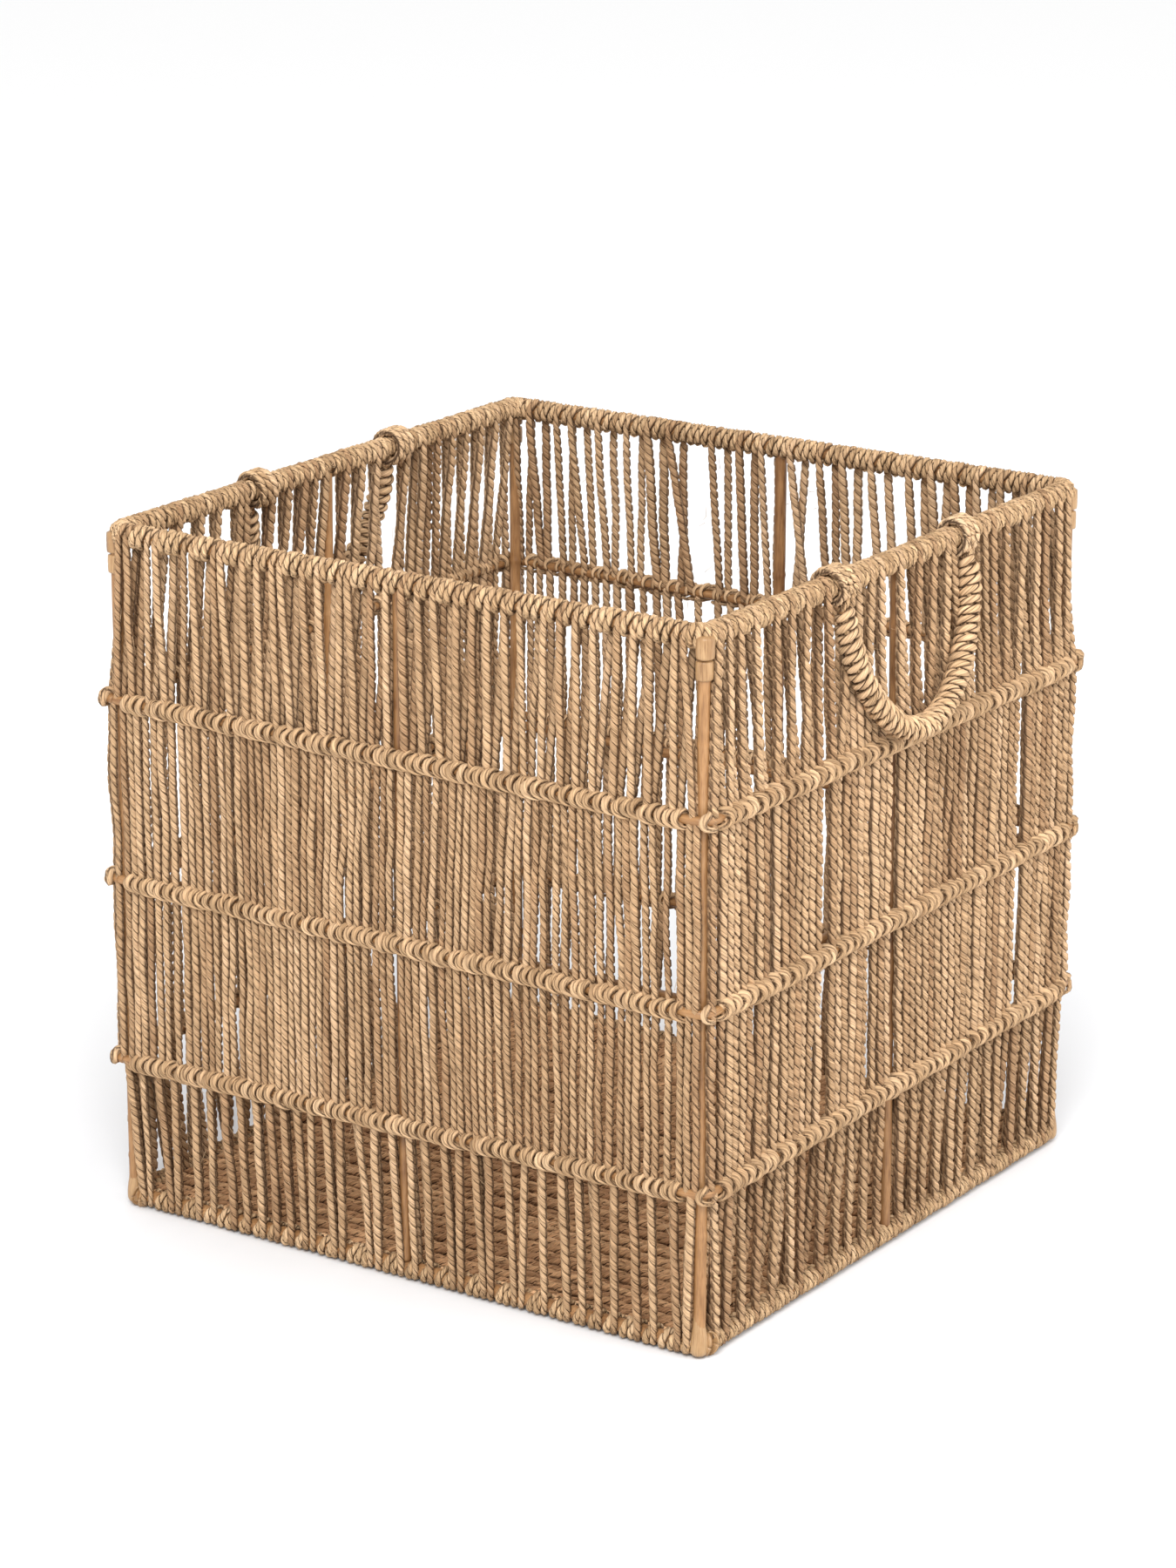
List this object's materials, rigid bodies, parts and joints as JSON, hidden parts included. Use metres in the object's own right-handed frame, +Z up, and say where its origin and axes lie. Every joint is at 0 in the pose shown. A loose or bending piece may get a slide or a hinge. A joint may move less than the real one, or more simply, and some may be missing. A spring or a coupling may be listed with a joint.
{
  "type": "laundry basket",
  "caption": "Square open laundry basket: a cane frame wound with twisted grass cord, outer hoops, and drop handles that swing on the wound rim.",
  "frame": {"origin": "on the floor, in the middle of the basket's underside", "axes": "+Z up through the open mouth; +X out through the right handle, the longest side; -Y out of the front wall"},
  "size_m": [0.511, 0.4734, 0.4761],
  "materials": {
    "cane": "bare golden rattan cane, satin, with node rings",
    "cane_peel": "thin strips of rattan peel, satin",
    "nail_steel": "thin steel nails, hidden in the joints",
    "wall_cord": "two-ply twisted grass cord, dry and matt, straw coloured",
    "cord_winding": "two-ply grass cord wound close round a rim, matt",
    "cord_hitches": "grass cord hitched round a hoop, matt",
    "floor_cord": "close rows of thick two-ply grass cord, matt",
    "handle_cord": "grass cord in crossed stitches round a handle, matt"
  },
  "bodies": {
    "basket": {"top_rim": "cane", "bottom_rim": "cane", "hoop_upper": "cane", "hoop_middle": "cane", "hoop_lower": "cane", "corner_post_front_left": "cane", "corner_post_front_right": "cane", "corner_post_back_right": "cane", "corner_post_back_left": "cane", "mid_post_front": "cane", "mid_post_right": "cane", "mid_post_back": "cane", "mid_post_left": "cane", "inner_rail_front": "cane", "inner_rail_right": "cane", "inner_rail_back": "cane", "inner_rail_left": "cane", "base_bars": "cane", "post_bindings": "cane_peel", "foot_bindings": "cane_peel", "frame_nails": "nail_steel", "rim_wrap_front": "cord_winding", "rim_wrap_right": "cord_winding", "rim_wrap_back": "cord_winding", "rim_wrap_left": "cord_winding", "rim_corner_wraps": "cord_winding", "base_wrap_front": "cord_winding", "base_wrap_right": "cord_winding", "base_wrap_back": "cord_winding", "base_wrap_left": "cord_winding", "hitches_upper": "cord_hitches", "hitches_middle": "cord_hitches", "hitches_lower": "cord_hitches", "cords_front_top": "wall_cord", "cords_front_upper": "wall_cord", "cords_front_lower": "wall_cord", "cords_front_bottom": "wall_cord", "cords_right_top": "wall_cord", "cords_right_upper": "wall_cord", "cords_right_lower": "wall_cord", "cords_right_bottom": "wall_cord", "cords_back_top": "wall_cord", "cords_back_upper": "wall_cord", "cords_back_lower": "wall_cord", "cords_back_bottom": "wall_cord", "cords_left_top": "wall_cord", "cords_left_upper": "wall_cord", "cords_left_lower": "wall_cord", "cords_left_bottom": "wall_cord", "base_weave": "floor_cord"},
    "right_handle": {"right_handle_core": "cane", "right_handle_wrap": "handle_cord", "right_handle_loops": "handle_cord"},
    "left_handle": {"left_handle_core": "cane", "left_handle_wrap": "handle_cord", "left_handle_loops": "handle_cord"}
  },
  "joints": [
    {"name": "right_handle_swing", "type": "hinge", "parent": "basket", "child": "right_handle", "pos_m": [0.225, 0, 0.4635], "axis": [0, -1, 0], "range_deg": [0, 290]},
    {"name": "left_handle_swing", "type": "hinge", "parent": "basket", "child": "left_handle", "pos_m": [-0.225, 0, 0.4635], "axis": [0, 1, 0], "range_deg": [0, 290]}
  ]
}
